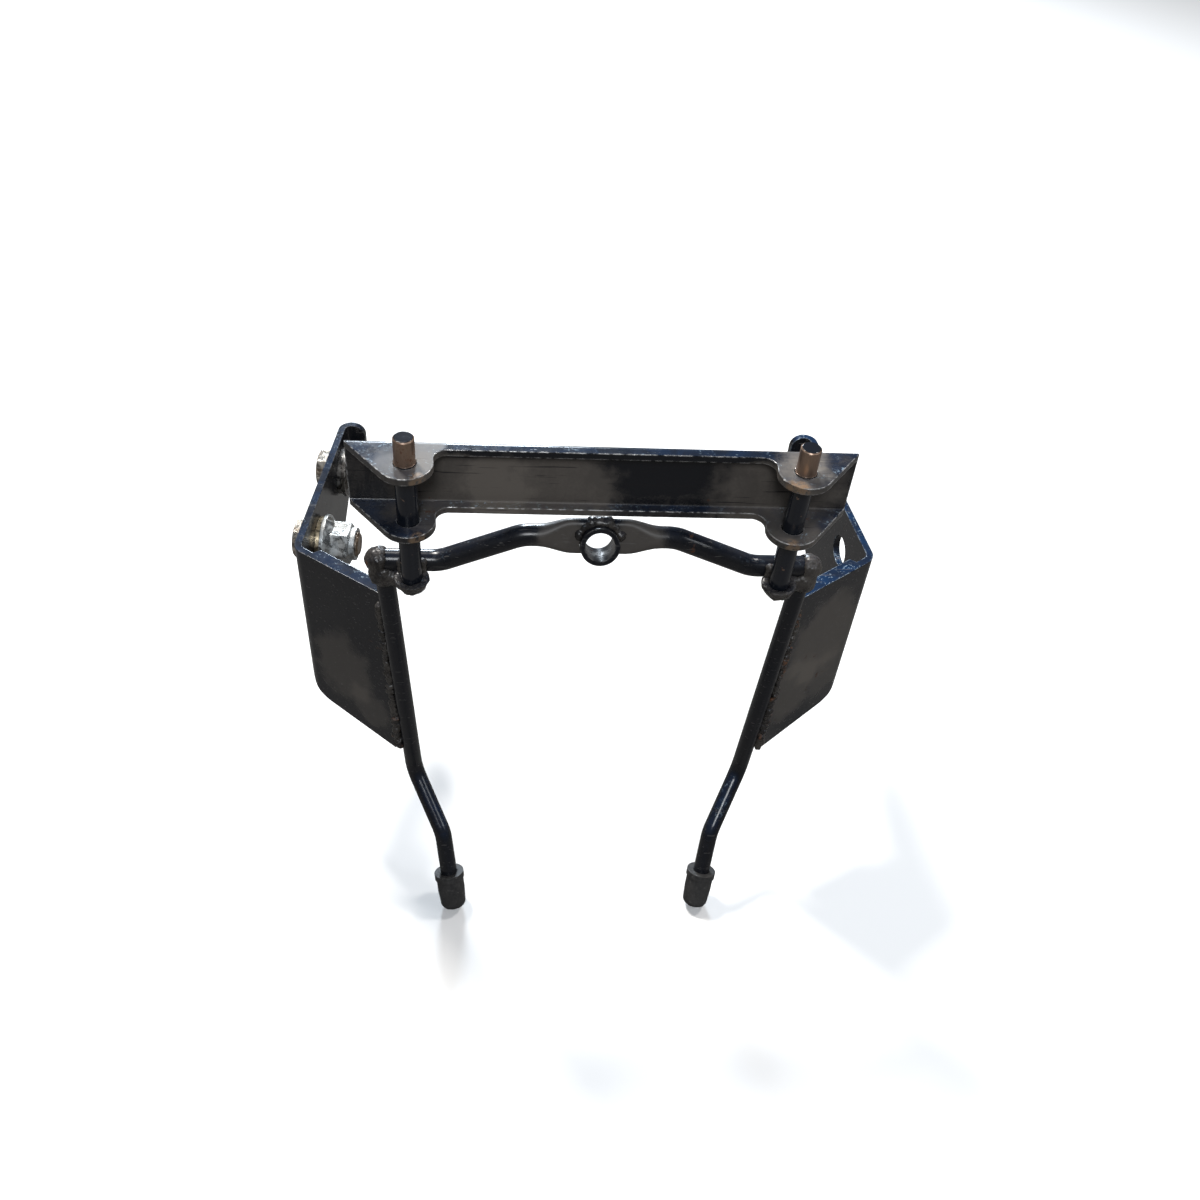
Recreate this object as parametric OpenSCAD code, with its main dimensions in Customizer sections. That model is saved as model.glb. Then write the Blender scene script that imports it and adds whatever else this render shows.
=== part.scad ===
// Headlight mounting bracket: a folded cross channel on two upright pins, a cross tube with a
// bolt sleeve, two bent leg rods with rubber caps, and two folded side plates.
// Millimetres. +X is to the right, -Y is the side that the pins' ears point to, +Z is up along
// the pins. The origin is the centre of the bolt sleeve.

/* [Pins] */
// Distance between the two pin axes
pin_spacing = 131; // [116:1:150]
// Diameter of each pin where it is painted
pin_d = 7.4; // [6.4:0.2:8.4]
// Diameter of each pin's bare top
pin_stub_d = 7; // [6:0.2:8]
// Height of each pin above the upper ear
pin_stub_h = 10; // [6:1:16]
// Height of each pin's painted shoulder above the upper ear
pin_shoulder_h = 0.4; // [0.3:0.1:1]
// Height of each pin's lower end below the tube
pin_foot_drop = 2.4; // [1.6:0.2:4]
// Width of the bevel round each pin's top
pin_bevel = 0.5; // [0.3:0.1:0.8]
// Radial clearance of each pin in its ear holes
pin_clearance = 0.15; // [0.1:0.05:0.25]
// Leg length of the small weld fillet under each lower ear
pin_weld_leg = 1.8; // [1.2:0.2:2.4]

/* [Cross channel] */
// Overall length of the channel
channel_l = 172; // [162:1:190]
// Overall height of the channel
channel_h = 26.5; // [22:0.5:32]
// Thickness of the channel sheet
channel_t = 2.5; // [2:0.1:3]
// Depth of each plain flange, with the sheet of the web
flange_d = 6; // [5:0.2:7]
// Outside radius of the two long bends
channel_bend_r = 3.2; // [2.8:0.1:4]
// Distance from the pin axes back to the rear face of the web
channel_setback = 13.3; // [12:0.1:15]
// Radius of the round lobe of each ear
ear_r = 9.2; // [8:0.2:10]
// Radius of the hollow between each lobe and the flange
ear_hollow_r = 4.5; // [3.5:0.5:6]
// Height of the channel's underside above the middle of the bolt sleeve
channel_rise = 11.8; // [11:0.2:20]

/* [Cross tube] */
// Outside diameter of the tube
tube_d = 8; // [7:0.5:9]
// Wall of the tube
tube_wall = 1.6; // [1:0.1:2]
// Overall length of the tube
tube_l = 157; // [152:1:165]
// Distance from the middle to the bends beside the pins
tube_outer_bend_x = 56; // [52:1:58]
// Distance from the middle to the bends beside the flattened part
tube_inner_bend_x = 27; // [26:1:32]
// Height from the tube's ends up to its flattened middle
tube_arch_h = 12.7; // [8:0.5:15]
// Radius of the tube's bends at the centre line
tube_bend_r = 14; // [12:1:16]
// Length of the flattened part
flat_l = 38; // [32:1:42]
// Height of the flattened part
flat_h = 13; // [12:0.5:14.5]
// Thickness of the flattened part
flat_t = 4.4; // [4:0.2:5.4]
// Gap between the back of each pin and the tube
tube_gap = 0.1; // [0.05:0.05:0.2]

/* [Bolt sleeve] */
// Outside diameter of the sleeve
sleeve_d = 14; // [13.5:0.5:15]
// Bore of the sleeve
sleeve_bore_d = 10.5; // [9:0.5:11]
// Length of the sleeve
sleeve_l = 13; // [11:0.5:16]
// Rise of the sleeve's axis above level, towards the front
sleeve_tilt = 20; // [10:1:30]
// Distance of the sleeve's axis below the middle of the flattened part
sleeve_drop = 2.4; // [2:0.2:3]
// Clearance round the sleeve in the flattened part
sleeve_clearance = 0.1; // [0.05:0.05:0.2]
// Radius of the weld bead over the sleeve
sleeve_bead_r = 2; // [1.6:0.1:2.4]

/* [Leg rods] */
// Radius of the largest lumps of weld between each pin, tube end and rod
weld_lump_r = 3.4; // [2.8:0.2:4]
// Diameter of each leg rod
rod_d = 7; // [6:0.5:8]
// Distance from each end of the tube in to the middle of the rod's top
rod_top_inset = 2.5; // [1.5:0.25:4]
// Inward lean of the upper straight of each rod
rod_lean = 3; // [1:0.5:4]
// Height from the first bend up to the bolt sleeve
rod_bend_drop = 129; // [124:1:140]
// Inward run of the slanted stretch
shin_in = 12.5; // [8:0.5:16]
// Forward run of the slanted stretch
shin_forward = 20; // [12:1:26]
// Downward run of the slanted stretch
shin_down = 19; // [15:1:24]
// Inward run of the foot stretch
foot_in = 4; // [3:0.5:8]
// Forward run of the foot stretch
foot_forward = 13; // [6:1:16]
// Downward run of the foot stretch
foot_down = 28; // [22:1:34]
// Radius of the rod's bends at the centre line
rod_bend_r = 12; // [10:1:14]

/* [Side plates] */
// Thickness of the plate sheet
plate_t = 2.8; // [2.2:0.1:3.2]
// Distance from the middle to the fold, at mid sheet
fold_x = 112; // [108:1:118]
// Distance of the fold behind the bolt sleeve, at mid sheet
fold_y = 27.4; // [24:0.5:32]
// Radius of the fold at mid sheet
fold_r = 5.5; // [4.5:0.5:7]
// Height from the plates' top edge up to the bolt sleeve
plate_top_drop = 29.5; // [26:0.5:34]
// Height of the front panel at the rod
plate_rod_h = 88.5; // [82:0.5:94]
// Rise of the front panel's lower edge towards the fold
front_edge_slope = 9; // [5:1:12]
// Radius of the front panel's lower corner
front_corner_r = 13; // [11:1:17]
// Inward lean of the rear panel, towards the rear
rear_lean = 6.3; // [3:0.1:9]
// Length of the rear panel from the fold, at mid sheet
rear_l = 82; // [76:1:90]
// Length of the rear panel's lower edge that stays nearly level
rear_level_l = 42; // [36:1:50]
// Height of the rear panel where its lower edge starts to rise
rear_level_h = 56; // [50:1:58]
// Height of the rear panel at its rear end
rear_end_h = 30; // [27:1:40]
// Radius of the bend into the rear lip, at mid sheet
lip_bend_r = 4; // [3:0.2:5]
// Flat length of the rear lip
lip_l = 5; // [4:0.5:7]
// Length of the single sheet between the fold and the turned-back layer
hem_start = 4; // [3:0.5:8]
// Gap between the front panel's edge and the rod
plate_gap = 0.2; // [0.1:0.1:0.4]
// Length of the weld bead between each plate and its rod
plate_bead_l = 82; // [72:1:86]
// Radius of the weld beads between plates and rods
plate_bead_r = 2.1; // [1.7:0.1:2.4]
// Distance between neighbouring ripples of the weld beads
plate_bead_pitch = 3.2; // [2.8:0.2:3.6]

/* [Plate holes and fasteners] */
// Diameter of the front hole in each plate
front_hole_d = 13; // [11:0.5:14]
// Distance of the front hole behind the fold
front_hole_back = 25; // [22:1:28]
// Distance of the front hole below the top edge
front_hole_drop = 18; // [15:1:22]
// Diameter of the rear hole in each plate
rear_hole_d = 11; // [10.6:0.2:12]
// Gap between the rear washer's edge and the bend into the lip
rear_washer_gap = 1; // [0.6:0.2:5]
// Distance of the rear hole below the top edge
rear_hole_drop = 14; // [13:1:18]
// Diameter of the bolt shanks
bolt_d = 10; // [8:0.5:10.5]
// Width of the bolt heads across their flats
bolt_flats = 14; // [13:0.5:15]
// Height of the bolt heads
bolt_head_h = 7; // [5:0.5:8]
// Length of each bolt beyond its nut
bolt_end_l = 1.2; // [0.4:0.2:2.4]
// Bevel on the end of each bolt
bolt_end_bevel = 0.8; // [0.4:0.1:1]
// Thickness of the round face under each bolt head
bolt_face_t = 1; // [0.6:0.1:1.4]
// Outside diameter of the washers
washer_d = 20; // [19:0.5:22]
// Thickness of the washers
washer_t = 2; // [1.4:0.1:2.4]
// Clearance between a bolt and what it passes through
bolt_clearance = 0.2; // [0.1:0.05:0.25]
// Width of the nuts across their flats
nut_flats = 15; // [14:0.5:16]
// Height of the nuts
nut_h = 11; // [9:0.5:13]
// Diameter of the nuts' flanges
nut_flange_d = 22; // [20:0.5:24]
// Thickness of the nuts' flanges at their edges
nut_flange_t = 1.6; // [1.2:0.1:2]
// Height of the slope from each flange up to the hexagon
nut_slope_h = 2.4; // [1.6:0.2:3]
// Height of the round collar beyond each hexagon
nut_collar_h = 2; // [1:0.2:3]
// Diameter of the round collar
nut_collar_d = 13.4; // [12.6:0.2:14]

/* [Foot caps] */
// Outside diameter of each rubber cap
cap_d = 11.5; // [10.5:0.5:13]
// Overall length of each cap
cap_l = 17; // [15:1:22]
// Thickness of rubber beyond the rod's end
cap_floor = 5; // [3:0.5:7]
// Clearance between cap and rod
cap_clearance = 0.05; // [0.02:0.01:0.1]
// Radius of the round nose edge
cap_nose_r = 2.6; // [2:0.2:3]
// Amount by which each cap narrows towards its nose
cap_draft = 0.4; // [0.2:0.1:0.8]
// Height of the raised ring at each cap's mouth
cap_rim_h = 2.6; // [2:0.2:3.4]
// Amount by which the ring stands proud
cap_rim_proud = 0.5; // [0.3:0.1:0.8]

/* [Hidden] */
$fn = 64;
bead_fn = 24;
arc_steps = 14;
overlap = 1;
bend_swell = 0.02;
bend_bite = 0.3;
paint = "#23262e";
weld_paint = "#3a3835";
bare_rust = "#8a6a52";
zinc = "#b9bcbc";
yellow_zinc = "#c9b98a";
rubber = "#3a3a3c";
pin_x = pin_spacing / 2;
pin_y = -(pin_d + tube_d) / 2 - tube_gap;
channel_top_z = channel_rise + channel_h;
pin_top_z = channel_top_z + pin_stub_h;
shoulder_z = channel_top_z + pin_shoulder_h;
tube_mid_z = sleeve_drop * cos(sleeve_tilt);
tube_end_z = tube_mid_z - tube_arch_h;
pin_bottom_z = tube_end_z - tube_d / 2 - pin_foot_drop;
channel_back_y = pin_y + channel_setback;
channel_front_y = channel_back_y - flange_d;
rod_top_x = tube_l / 2 - rod_top_inset;
rod_top_z = tube_end_z - tube_d / 2 - tube_gap - rod_d / 2 * sin(rod_lean);
plate_top_z = -plate_top_drop;
plate_mid_z = plate_top_z - plate_rod_h / 2;
front_aim = atan2(fold_y, fold_x - rod_x(plate_mid_z));
front_heading = 180 + front_aim;
rear_heading = 90 + rear_lean;
fold_turn = 90 - front_aim + rear_lean;
fold_tangent = fold_r * tan(fold_turn / 2);
corner_x = -plate_t / 2;
corner_tilt = atan2(-front_edge_slope, front_run(plate_top_z - plate_rod_h) - corner_x);
corner_reach = front_corner_r * tan((90 + corner_tilt) / 2);
plate_fold_h = plate_rod_h - front_edge_slope - corner_reach;
rear_hole_back = rear_l - lip_bend_r - washer_d / 2 - rear_washer_gap;
grip = plate_t + washer_t;
bolt_l = grip + nut_h + nut_collar_h + bolt_end_l;
flat_end_x = flat_l / 2 + tube_d / 3;
flat_core_x = flat_l / 4;
blend_steps = 6;
ring_points = 32;
shin_start = [rod_x(-rod_bend_drop), 0, -rod_bend_drop];
shin_end = shin_start + [-shin_in, -shin_forward, -shin_down];
foot_end = shin_end + [-foot_in, -foot_forward, -foot_down];

function rod_x(z) = rod_top_x - (rod_top_z - z) * tan(rod_lean);
function unit(v) = v / norm(v);
function arc(c, r, from, to) =
    [for (i = [0:arc_steps]) c + r * [cos(from + (to - from) * i / arc_steps),
        sin(from + (to - from) * i / arc_steps)]];
function flip_x(points) = [for (i = [len(points) - 1:-1:0]) [-points[i].x, points[i].y]];
function turn_at(points, i) =
    acos(unit(points[i] - points[i - 1]) * unit(points[i + 1] - points[i]));

// Run of the front panel from the fold's corner to its edge beside the rod, at a height
function front_run(z) = [rod_x(z) - fold_x, -fold_y] * [cos(front_heading), sin(front_heading)]
    - rod_d / 2 - plate_gap;

// Stands what is drawn along Z on the point p, turned to the direction v
module along(p, v) {
    u = unit(v);
    translate(p) rotate([0, acos(u.z), atan2(u.y, u.x)]) children();
}

// A round bar along a route, with a true elbow at each inner point. The bends are a hair fuller.
module bar_run(points, diameter, bend_r) {
    last = len(points) - 1;
    for (i = [0:last - 1]) {
        before = i == 0 ? 0 : bend_r * tan(turn_at(points, i) / 2) - bend_bite;
        after = i == last - 1 ? 0 : bend_r * tan(turn_at(points, i + 1) / 2) - bend_bite;
        step = points[i + 1] - points[i];
        along(points[i] + unit(step) * before, step)
            cylinder(d = diameter, h = norm(step) - before - after);
    }
    for (i = [1:1:last - 1]) elbow(points, i, bend_r) circle(d = diameter + 2 * bend_swell);
}

// Sweeps a section round the bend at one inner point of a route
module elbow(points, i, bend_r) {
    a = unit(points[i] - points[i - 1]);
    b = unit(points[i + 1] - points[i]);
    n = unit(b - (a * b) * a);
    k = cross(-n, a);
    c = points[i] - a * bend_r * tan(turn_at(points, i) / 2) + n * bend_r;
    multmatrix([[-n.x, a.x, k.x, c.x], [-n.y, a.y, k.y, c.y], [-n.z, a.z, k.z, c.z], [0, 0, 0, 1]])
        rotate_extrude(angle = turn_at(points, i)) translate([bend_r, 0]) children();
}

module both_sides() {
    children();
    mirror([1, 0, 0]) children();
}

// A lumpy weld bead: a string of round ripples along Z
module ripple_bead(length, radius, pitch) {
    count = max(1, floor((length - 2 * radius) / pitch));
    step = (length - 2 * radius) / count;
    rotate_extrude($fn = bead_fn) intersection() {
        union() for (i = [0:count])
            translate([0, radius + i * step]) circle(r = radius * (1 - 0.13 * (1 + sin(i * 137)) / 2));
        square([2 * radius, length]);
    }
}

// Right half of the channel's plan outline, from the middle out to the rear corner
function ear_outline() = let (
        hollow_y = channel_front_y - ear_hollow_r,
        hollow_x = pin_x - sqrt(pow(ear_r + ear_hollow_r, 2) - pow(hollow_y - pin_y, 2)),
        touch = atan2(pin_y - hollow_y, pin_x - hollow_x),
        corner = [channel_l / 2, channel_back_y - channel_t],
        away = corner - [pin_x, pin_y],
        leave = atan2(away.y, away.x) - acos(ear_r / norm(away)) + 360
    ) concat(
        arc([hollow_x, hollow_y], ear_hollow_r, 90, touch),
        arc([pin_x, pin_y], ear_r, 180 + touch, leave),
        [corner, [channel_l / 2, channel_back_y]]
    );

// Side section of the channel without its hollow, with X forward from the web's rear face
module rounded_section(depth, height, radius) {
    translate([radius, 0]) square([depth - radius, height]);
    translate([0, radius]) square([radius + overlap, height - 2 * radius]);
    translate([radius, radius]) circle(r = radius);
    translate([radius, height - radius]) circle(r = radius);
}

module cross_channel() {
    depth = channel_setback + ear_r + overlap;
    color(paint) difference() {
        intersection() {
            translate([channel_l / 2 + overlap, channel_back_y, channel_rise])
                rotate([90, 0, -90]) linear_extrude(height = channel_l + 2 * overlap) difference() {
                    rounded_section(depth, channel_h, channel_bend_r);
                    translate([channel_t, channel_t]) rounded_section(depth, channel_h - 2 * channel_t,
                        channel_bend_r - channel_t);
                }
            translate([0, 0, channel_rise - overlap]) linear_extrude(height = channel_h + 2 * overlap)
                polygon(concat(ear_outline(), flip_x(ear_outline())));
        }
        both_sides() translate([pin_x, pin_y, channel_rise - overlap])
            cylinder(d = pin_d + 2 * pin_clearance, h = channel_h + 2 * overlap);
    }
}

module pin() {
    color(bare_rust) translate([pin_x, pin_y, 0]) {
        translate([0, 0, pin_bottom_z]) cylinder(d = pin_d, h = shoulder_z - pin_bottom_z);
        translate([0, 0, shoulder_z]) cylinder(d = pin_stub_d, h = pin_top_z - shoulder_z - pin_bevel);
        translate([0, 0, pin_top_z - pin_bevel])
            cylinder(d1 = pin_stub_d, d2 = pin_stub_d - 2 * pin_bevel, h = pin_bevel);
    }
}

// Fillet of weld round a pin, under the lower ear
module pin_weld() {
    color(weld_paint) translate([pin_x, pin_y, channel_rise - pin_weld_leg])
        rotate_extrude() translate([pin_d / 2, 0])
            polygon([[0, 0], [0.5, 0], [pin_weld_leg, pin_weld_leg - 0.5], [pin_weld_leg, pin_weld_leg],
                [0, pin_weld_leg]]);
}

// Frame of the flattened part: Y runs back along the sleeve's axis, Z up across it
module on_flat() {
    translate([0, 0, tube_mid_z]) rotate([-sleeve_tilt, 0, 0]) children();
}

// One ring of the flattened part: round where flatness is 0, a flat oval where it is 1
function pinch_ring(x, flatness) = let (
        round_r = tube_d / 2 + 2 * bend_swell,
        half_t = round_r + (flat_t / 2 - round_r) * flatness,
        side = (flat_h - flat_t) / 2 * flatness
    ) [for (i = [0:ring_points - 1]) let (a = (i + 0.5) * 360 / ring_points)
        [x, half_t * cos(a), half_t * sin(a) + side * sign(sin(a))]];
function smooth_step(u) = u * u * (3 - 2 * u);

// The pinched middle of the tube: round at both ends, pressed flat between
module pinched_middle() {
    run = flat_end_x - flat_core_x;
    left = [for (k = [0:blend_steps])
        pinch_ring(-flat_end_x + run * k / blend_steps, smooth_step(k / blend_steps))];
    right = [for (k = [blend_steps:-1:0])
        pinch_ring(flat_end_x - run * k / blend_steps, smooth_step(k / blend_steps))];
    rings = concat(left, right);
    last = len(rings) - 1;
    faces = concat(
        [[for (i = [0:ring_points - 1]) i]],
        [[for (i = [ring_points - 1:-1:0]) last * ring_points + i]],
        [for (k = [0:last - 1], i = [0:ring_points - 1], half = [0, 1]) let (
            a = k * ring_points + i,
            b = k * ring_points + (i + 1) % ring_points
        ) half == 0 ? [a, a + ring_points, b] : [b, a + ring_points, b + ring_points]]);
    polyhedron([for (ring = rings, p = ring) p], faces);
}

module half_tube_route(diameter, from) {
    bar_run([[from, 0, tube_mid_z], [tube_inner_bend_x, 0, tube_mid_z],
        [tube_outer_bend_x, 0, tube_end_z], [tube_l / 2, 0, tube_end_z]], diameter, tube_bend_r);
}

module cross_tube() {
    color(paint) difference() {
        union() {
            both_sides() half_tube_route(tube_d, flat_end_x - overlap / 2);
            on_flat() pinched_middle();
        }
        both_sides() half_tube_route(tube_d - 2 * tube_wall, flat_end_x);
        both_sides() translate([tube_l / 2 - overlap, 0, tube_end_z]) rotate([0, 90, 0])
            cylinder(d = tube_d - 2 * tube_wall, h = 2 * overlap);
        rotate([90 - sleeve_tilt, 0, 0])
            cylinder(d = sleeve_d + 2 * sleeve_clearance, h = sleeve_l + 2 * overlap, center = true);
    }
}

module centre_sleeve() {
    color(paint) rotate([90 - sleeve_tilt, 0, 0]) difference() {
        cylinder(d = sleeve_d, h = sleeve_l, center = true);
        cylinder(d = sleeve_bore_d, h = sleeve_l + 2 * overlap, center = true);
    }
}

// Saddle of weld over the front of the sleeve, with a lump at each end
module sleeve_weld() {
    reach = 66;
    ring_r = sleeve_d / 2 + 0.5;
    front = flat_t / 2 + 0.4;
    color(weld_paint) difference() {
        rotate([90 - sleeve_tilt, 0, 0]) translate([0, 0, front - tube_mid_z * sin(sleeve_tilt)]) {
            rotate([0, 0, 90 - reach]) rotate_extrude(angle = 2 * reach) translate([ring_r, 0])
                circle(r = sleeve_bead_r, $fn = bead_fn);
            for (turn = [90 - reach, 90 - reach / 3, 90 + reach / 3, 90 + reach])
                rotate([0, 0, turn]) translate([ring_r + 0.3, 0, 0])
                    sphere(r = sleeve_bead_r + 0.4, $fn = bead_fn);
        }
        rotate([90 - sleeve_tilt, 0, 0]) cylinder(d = sleeve_d, h = 4 * sleeve_l, center = true);
        on_flat() cube([flat_l, flat_t, flat_h - flat_t], center = true);
        on_flat() for (side = [-1, 1]) translate([0, 0, side * (flat_h - flat_t) / 2])
            rotate([0, 90, 0]) cylinder(d = flat_t, h = flat_l, center = true);
    }
}

// Straight upper stretch of a leg rod
module upper_rod() {
    along([rod_top_x, 0, rod_top_z], shin_start - [rod_top_x, 0, rod_top_z])
        cylinder(d = rod_d, h = rod_bend_drop + rod_top_z - rod_bend_r);
}

module leg_rod() {
    color(paint) bar_run([[rod_top_x, 0, rod_top_z], shin_start, shin_end, foot_end], rod_d, rod_bend_r);
}

// Fused lumps of weld that join the pin, the tube's end and the rod's top
module corner_weld() {
    tube_low_z = tube_end_z - tube_d / 2;
    pin_side = [pin_x + pin_d / 5, pin_y + pin_d / 3, tube_low_z - pin_foot_drop / 2];
    rod_side = [rod_top_x, -rod_d / 7, rod_top_z - weld_lump_r / 4];
    color(weld_paint) difference() {
        union() {
            translate([tube_l / 2 - weld_lump_r / 3, 0, tube_end_z]) sphere(d = tube_d + weld_lump_r / 2);
            translate(rod_side) sphere(d = rod_d + weld_lump_r);
            translate((pin_side + rod_side) / 2 + [0, weld_lump_r / 5, 0]) sphere(r = weld_lump_r * 1.15);
            along(pin_side, rod_side - pin_side)
                ripple_bead(norm(rod_side - pin_side) + weld_lump_r, weld_lump_r, 3.4);
            translate([pin_x, pin_y, pin_bottom_z + weld_lump_r / 5])
                cylinder(r1 = pin_d / 2 + weld_lump_r / 4, r2 = pin_d / 2 + weld_lump_r * 0.8,
                    h = pin_foot_drop + tube_d / 4);
            along([pin_x - pin_d / 2 - weld_lump_r / 2, pin_y + pin_d * 0.4, tube_low_z - weld_lump_r / 8],
                [1, 0, -0.1]) ripple_bead(pin_d + weld_lump_r, weld_lump_r * 0.6, 2.4);
            for (side = [-1, 1])
                along([pin_x + side * (pin_d / 2 - 0.2), pin_y + pin_d * 0.4, tube_low_z - weld_lump_r / 8],
                    [0, 0.05, 1]) ripple_bead(tube_d + weld_lump_r / 4, weld_lump_r * 0.5, 2.3);
        }
        pin();
        half_tube_route(tube_d, flat_end_x);
        upper_rod();
    }
}

// Puts what is drawn in the right plate's corner frame in its place, with the top edge at Z = 0
module at_fold(heading) {
    translate([fold_x, fold_y, plate_top_z]) rotate([0, 0, heading]) children();
}

module upright(thickness) {
    rotate([90, 0, 0]) linear_extrude(height = thickness, center = true) children();
}

// Plan outline of the right plate: front panel with its turned-back layer, fold, rear panel, lip
function plate_outline() = let (
        half = plate_t / 2,
        corner = [fold_x, fold_y],
        ahead = heading(front_heading),
        aside = heading(front_heading + 90),
        back = heading(rear_heading),
        inward = heading(rear_heading + 90),
        fold_c = corner + fold_r / cos(fold_turn / 2) * heading((front_heading + rear_heading) / 2),
        lip_c = corner + (rear_l - lip_bend_r) * back + lip_bend_r * inward,
        from = front_heading + 90,
        far = corner + (front_run(plate_top_z) + overlap) * ahead,
        hem = corner + (fold_tangent + hem_start) * ahead
    ) concat(
        [far + half * aside],
        arc(fold_c, fold_r + half, from, from + fold_turn),
        arc(lip_c, lip_bend_r + half, rear_heading - 90, rear_heading),
        [lip_c + (lip_bend_r + half) * back + lip_l * inward],
        [lip_c + (lip_bend_r - half) * back + lip_l * inward],
        arc(lip_c, lip_bend_r - half, rear_heading, rear_heading - 90),
        arc(fold_c, fold_r - half, from + fold_turn, from),
        [hem - half * aside, hem + plate_t / 3 * ahead - 1.4 * plate_t * aside],
        [hem + plate_t / 2 * ahead - 1.5 * plate_t * aside, far - 1.5 * plate_t * aside]
    );
function heading(a) = [cos(a), sin(a)];

// What is cut from the front panel: X runs from the fold to the rod, Y down from the top edge
module front_waste() {
    top_end = front_run(plate_top_z);
    low_end = front_run(plate_top_z - plate_rod_h);
    below = -plate_rod_h - 2 * overlap;
    side = (top_end - low_end) / plate_rod_h * overlap;
    polygon(concat([[corner_x - overlap, -plate_fold_h]],
        arc([corner_x + front_corner_r, -plate_fold_h], front_corner_r, 180, 270 + corner_tilt),
        [[low_end, -plate_rod_h], [top_end + side, overlap], [top_end + plate_rod_h, overlap],
        [top_end + plate_rod_h, below], [corner_x - overlap, below]]));
}

module rear_waste() {
    below = -plate_rod_h - 2 * overlap;
    polygon([[fold_tangent, -plate_fold_h], [rear_level_l, -rear_level_h],
        [rear_l - lip_bend_r, -rear_end_h], [rear_l + plate_t, -rear_end_h],
        [rear_l + plate_t, below], [fold_tangent, below]]);
}

// Flat sheet with its two bends. The lip's upper corner and the lower corners are rounded away.
module side_plate() {
    reach = 2 * (lip_bend_r + lip_l + plate_t);
    color(paint) difference() {
        translate([0, 0, plate_top_z - plate_rod_h]) linear_extrude(height = plate_rod_h)
            polygon(plate_outline());
        at_fold(front_heading) {
            upright(reach) front_waste();
            translate([corner_x - fold_x, -2 * fold_x, -plate_rod_h - overlap])
                cube([fold_x, 3 * fold_x, plate_rod_h - plate_fold_h + overlap]);
        }
        at_fold(rear_heading) {
            upright(reach) rear_waste();
            translate([rear_l, lip_bend_r, 0]) rotate([0, 0, 90]) upright(2 * plate_t)
                polygon(concat(arc([0, -lip_l], lip_l, 90, 0),
                    [[lip_l + overlap, -lip_l], [lip_l + overlap, overlap], [0, overlap]]));
        }
        plate_hole(front_hole_back, front_hole_drop, front_hole_d);
        plate_hole(rear_hole_back, rear_hole_drop, rear_hole_d);
    }
}

// Frame of a hole in the rear panel, with Z pointing out of the panel's outer face
module at_hole(back, drop) {
    at_fold(rear_heading) translate([back, 0, -drop]) rotate([90, 0, 0]) children();
}

module plate_hole(back, drop, diameter) {
    at_hole(back, drop) cylinder(d = diameter, h = plate_t + 2 * overlap, center = true);
}

module plate_weld() {
    top = [front_run(plate_top_z), plate_t / 2 + 0.5, 0];
    low = [front_run(plate_top_z - plate_rod_h), plate_t / 2 + 0.5, -plate_rod_h];
    start = (plate_rod_h - plate_bead_l) / 2;
    color(weld_paint) difference() {
        at_fold(front_heading) along(low + unit(top - low) * start, top - low)
            ripple_bead(plate_bead_l, plate_bead_r, plate_bead_pitch);
        side_plate();
        upper_rod();
    }
}

// Rubber cap pushed on a leg's end, with a raised ring at its mouth
module foot_cap() {
    nose = arc([cap_d / 2 - cap_nose_r - cap_draft, cap_nose_r], cap_nose_r, -90, 0);
    color(rubber) along(foot_end, shin_end - foot_end) translate([0, 0, -cap_floor]) difference() {
        union() {
            rotate_extrude() polygon(concat([[0, 0]], nose, [[cap_d / 2, cap_l * 0.5],
                [cap_d / 2, cap_l - cap_rim_h], [0, cap_l - cap_rim_h]]));
            translate([0, 0, cap_l - cap_rim_h]) cylinder(d = cap_d + 2 * cap_rim_proud, h = cap_rim_h);
        }
        translate([0, 0, cap_floor]) cylinder(d = rod_d + 2 * cap_clearance, h = cap_l);
    }
}

module hexagon(flats) {
    circle(d = flats / cos(30), $fn = 6);
}

// Hexagon head or body with its outer corners turned off
module turned_hexagon(flats, height) {
    bevel = flats * 0.04;
    corner_r = flats / 2 / cos(30);
    intersection() {
        linear_extrude(height = height) hexagon(flats);
        rotate_extrude() polygon([[0, 0], [corner_r + 0.1, 0], [corner_r + 0.1, height - bevel],
            [flats / 2 - bevel / 2, height], [0, height]]);
    }
}

module bolt() {
    translate([0, 0, plate_t / 2]) {
        cylinder(d = bolt_flats + 1.6, h = bolt_face_t);
        translate([0, 0, bolt_face_t]) turned_hexagon(bolt_flats, bolt_head_h - bolt_face_t);
    }
    translate([0, 0, plate_t / 2 - bolt_l + bolt_end_bevel])
        cylinder(d = bolt_d, h = bolt_l - bolt_end_bevel);
    translate([0, 0, plate_t / 2 - bolt_l])
        cylinder(d1 = bolt_d - 2 * bolt_end_bevel, d2 = bolt_d, h = bolt_end_bevel);
}

module washer() {
    translate([0, 0, -plate_t / 2 - washer_t]) difference() {
        cylinder(d = washer_d, h = washer_t);
        translate([0, 0, -overlap]) cylinder(d = bolt_d + 2 * bolt_clearance, h = washer_t + 2 * overlap);
    }
}

module flange_nut() {
    rotate([180, 0, 0]) translate([0, 0, plate_t / 2 + washer_t]) difference() {
        union() {
            cylinder(d = nut_flange_d, h = nut_flange_t);
            translate([0, 0, nut_flange_t])
                cylinder(d1 = nut_flange_d - 0.6, d2 = nut_flats + 1, h = nut_slope_h);
            turned_hexagon(nut_flats, nut_h);
            cylinder(d = nut_collar_d, h = nut_h + nut_collar_h);
        }
        translate([0, 0, -overlap])
            cylinder(d = bolt_d + 2 * bolt_clearance, h = nut_h + nut_collar_h + 2 * overlap);
    }
}

module on_left_plate(back, drop) {
    mirror([1, 0, 0]) at_hole(back, drop) children();
}

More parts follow.
